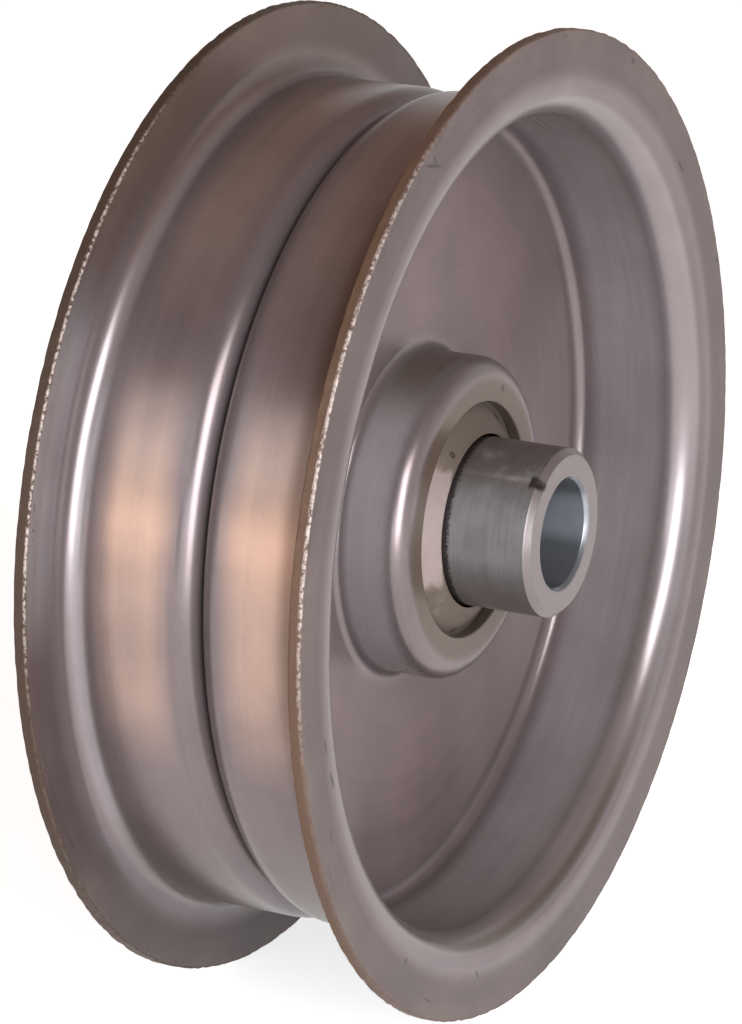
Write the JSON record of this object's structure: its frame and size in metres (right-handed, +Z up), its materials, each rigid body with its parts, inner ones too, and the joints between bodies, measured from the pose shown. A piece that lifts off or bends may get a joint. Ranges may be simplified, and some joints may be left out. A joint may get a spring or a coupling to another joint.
{
  "type": "tensioner pulley",
  "caption": "Flanged flat-belt tensioner pulley of back-to-back pressed steel halves, turning on a ball bearing whose long inner collar takes the mounting bolt.",
  "frame": {"origin": "centre of the bolt bore, on the seam between the two pressed halves", "axes": "+Y along the axle towards the rear, +Z up; the long collar points to -Y, the front"},
  "size_m": [0.155, 0.0525, 0.155],
  "materials": {
    "pressed_steel": "satin bare drawn sheet, lightly stained",
    "collar_steel": "turned, dull grey",
    "bearing_steel": "ground",
    "shield_steel": "pressed sheet, dull",
    "cage_polyamide": "moulded",
    "ball_steel": "polished"
  },
  "bodies": {
    "hub": {"inner_ring": "collar_steel"},
    "pulley": {"front_half": "pressed_steel", "rear_half": "pressed_steel", "outer_ring": "bearing_steel", "front_shield": "shield_steel", "rear_shield": "shield_steel"},
    "front_ball_row": {"front_cage": "cage_polyamide", "front_ball_1": "ball_steel", "front_ball_2": "ball_steel", "front_ball_3": "ball_steel", "front_ball_4": "ball_steel", "front_ball_5": "ball_steel", "front_ball_6": "ball_steel", "front_ball_7": "ball_steel", "front_ball_8": "ball_steel", "front_ball_9": "ball_steel"},
    "rear_ball_row": {"rear_cage": "cage_polyamide", "rear_ball_1": "ball_steel", "rear_ball_2": "ball_steel", "rear_ball_3": "ball_steel", "rear_ball_4": "ball_steel", "rear_ball_5": "ball_steel", "rear_ball_6": "ball_steel", "rear_ball_7": "ball_steel", "rear_ball_8": "ball_steel", "rear_ball_9": "ball_steel"}
  },
  "joints": [
    {"name": "pulley_spin", "type": "hinge", "parent": "hub", "child": "pulley", "pos_m": [0, 0, 0], "axis": [0, 1, 0], "continuous": true},
    {"name": "front_row_spin", "type": "hinge", "parent": "hub", "child": "front_ball_row", "pos_m": [0, 0, 0], "axis": [0, 1, 0], "continuous": true},
    {"name": "rear_row_spin", "type": "hinge", "parent": "hub", "child": "rear_ball_row", "pos_m": [0, 0, 0], "axis": [0, 1, 0], "continuous": true}
  ],
  "couplings": [
    {"joint": "front_row_spin", "follows": "pulley_spin", "ratio": 0.624},
    {"joint": "rear_row_spin", "follows": "pulley_spin", "ratio": 0.624}
  ]
}
